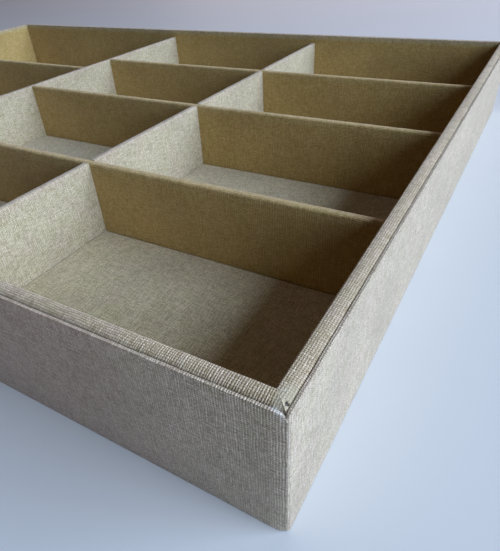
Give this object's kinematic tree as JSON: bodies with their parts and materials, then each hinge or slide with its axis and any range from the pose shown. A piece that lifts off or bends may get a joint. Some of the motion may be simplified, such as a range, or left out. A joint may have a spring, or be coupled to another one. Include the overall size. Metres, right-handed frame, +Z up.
{
  "type": "jewelry tray",
  "caption": "Shallow open jewelry tray of cloth-covered greyboard, with crossing dividers that make rectangular compartments of different sizes.",
  "frame": {"origin": "centre of the underside, where the tray rests on the table", "axes": "+X to the right along the front, +Y to the back, +Z up out of the open top"},
  "size_m": [0.3992, 0.289, 0.038],
  "materials": {
    "bookcloth": "matt plain-weave linen bookcloth",
    "greyboard": "matt binder's greyboard",
    "thin_card": "matt pressed card"
  },
  "bodies": {
    "root": {"base_board": "greyboard", "cross_divider_board_back": "greyboard", "cross_divider_board_front": "greyboard", "cross_divider_board_middle": "greyboard", "cross_divider_cloth_back": "bookcloth", "cross_divider_cloth_front": "bookcloth", "cross_divider_cloth_middle": "bookcloth", "floor_card_left_1": "thin_card", "floor_card_left_2": "thin_card", "floor_card_left_3": "thin_card", "floor_card_middle_1": "thin_card", "floor_card_middle_2": "thin_card", "floor_card_middle_3": "thin_card", "floor_card_middle_4": "thin_card", "floor_card_right_1": "thin_card", "floor_card_right_2": "thin_card", "floor_card_right_3": "thin_card", "floor_card_right_4": "thin_card", "floor_cloth_left_1": "bookcloth", "floor_cloth_left_2": "bookcloth", "floor_cloth_left_3": "bookcloth", "floor_cloth_middle_1": "bookcloth", "floor_cloth_middle_2": "bookcloth", "floor_cloth_middle_3": "bookcloth", "floor_cloth_middle_4": "bookcloth", "floor_cloth_right_1": "bookcloth", "floor_cloth_right_2": "bookcloth", "floor_cloth_right_3": "bookcloth", "floor_cloth_right_4": "bookcloth", "long_divider_board_left": "greyboard", "long_divider_board_right": "greyboard", "long_divider_cloth_left": "bookcloth", "long_divider_cloth_right": "bookcloth", "short_divider_board_back": "greyboard", "short_divider_board_front": "greyboard", "short_divider_cloth_back": "bookcloth", "short_divider_cloth_front": "bookcloth", "side_card_back": "thin_card", "side_card_front": "thin_card", "side_card_left": "thin_card", "side_card_right": "thin_card", "side_cloth_back": "bookcloth", "side_cloth_front": "bookcloth", "side_cloth_left": "bookcloth", "side_cloth_right": "bookcloth", "under_card": "thin_card", "under_cloth": "bookcloth", "wall_board_back": "greyboard", "wall_board_front": "greyboard", "wall_board_left": "greyboard", "wall_board_right": "greyboard", "wall_cloth_back": "bookcloth", "wall_cloth_front": "bookcloth", "wall_cloth_left": "bookcloth", "wall_cloth_right": "bookcloth"}
  },
  "joints": []
}
